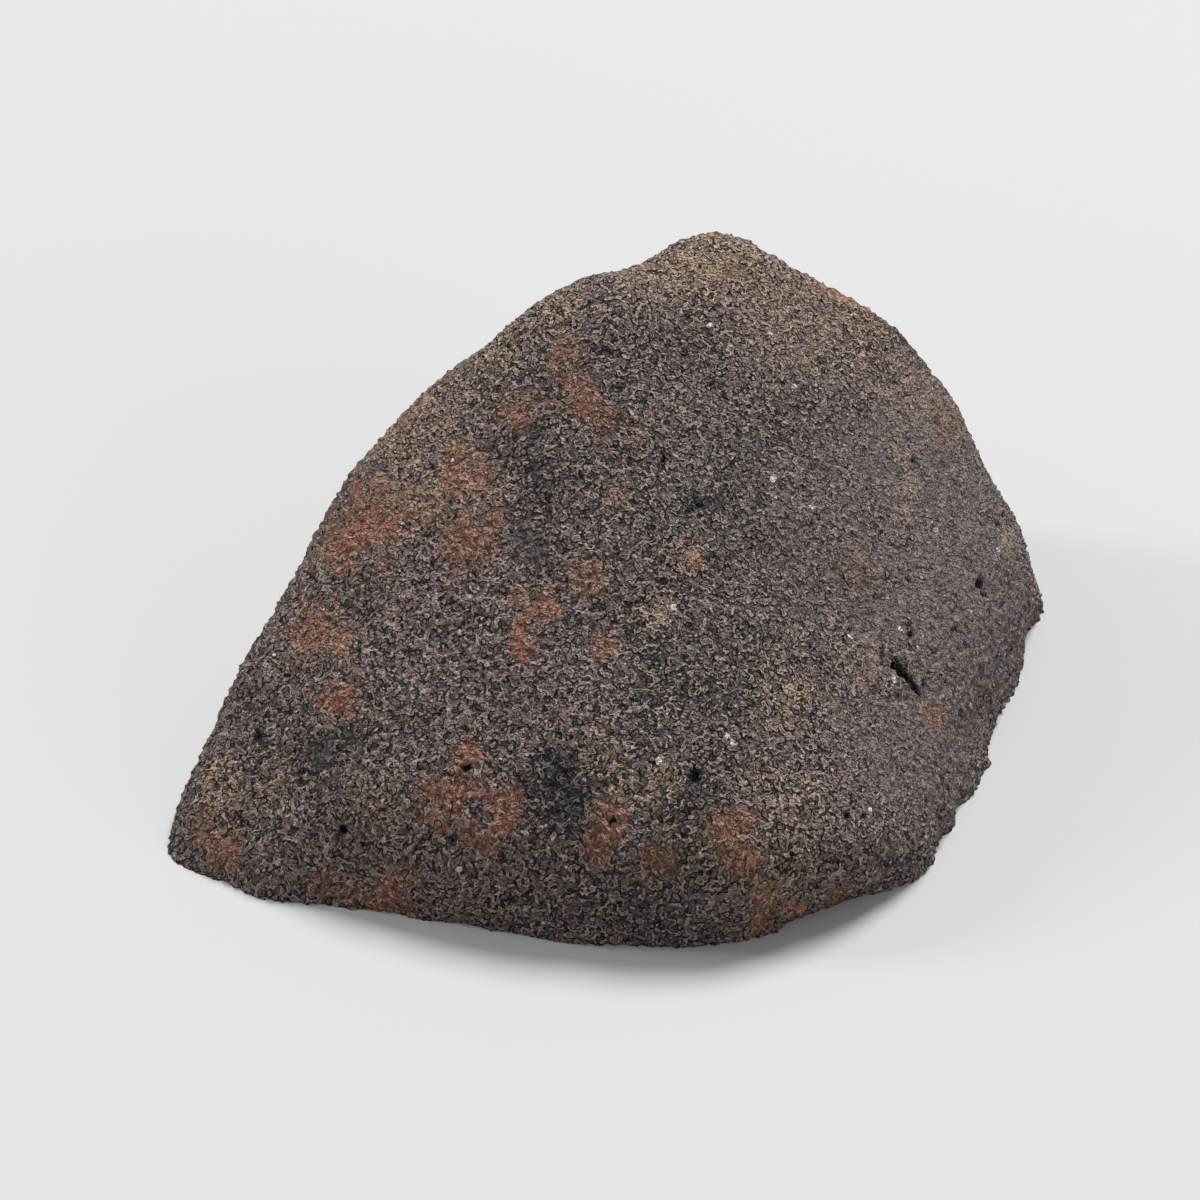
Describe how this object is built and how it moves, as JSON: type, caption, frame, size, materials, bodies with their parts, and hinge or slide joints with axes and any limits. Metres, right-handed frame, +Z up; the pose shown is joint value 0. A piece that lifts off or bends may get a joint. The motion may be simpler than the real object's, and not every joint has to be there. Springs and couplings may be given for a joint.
{
  "type": "meteorite end cut",
  "caption": "Palm-sized stony meteorite end cut: a rounded, weathered, rust-stained mound that rests on its flat sawn face.",
  "frame": {"origin": "middle of the stone's box at the height of the sawn face it rests on", "axes": "+Z up out of the sawn face, +X along the stone's longest side, -Y towards the steep front wall"},
  "size_m": [0.046, 0.041, 0.0219],
  "materials": {
    "weathered_stone": "matte"
  },
  "bodies": {
    "root": {"meteorite_end_cut": "weathered_stone"}
  },
  "joints": []
}
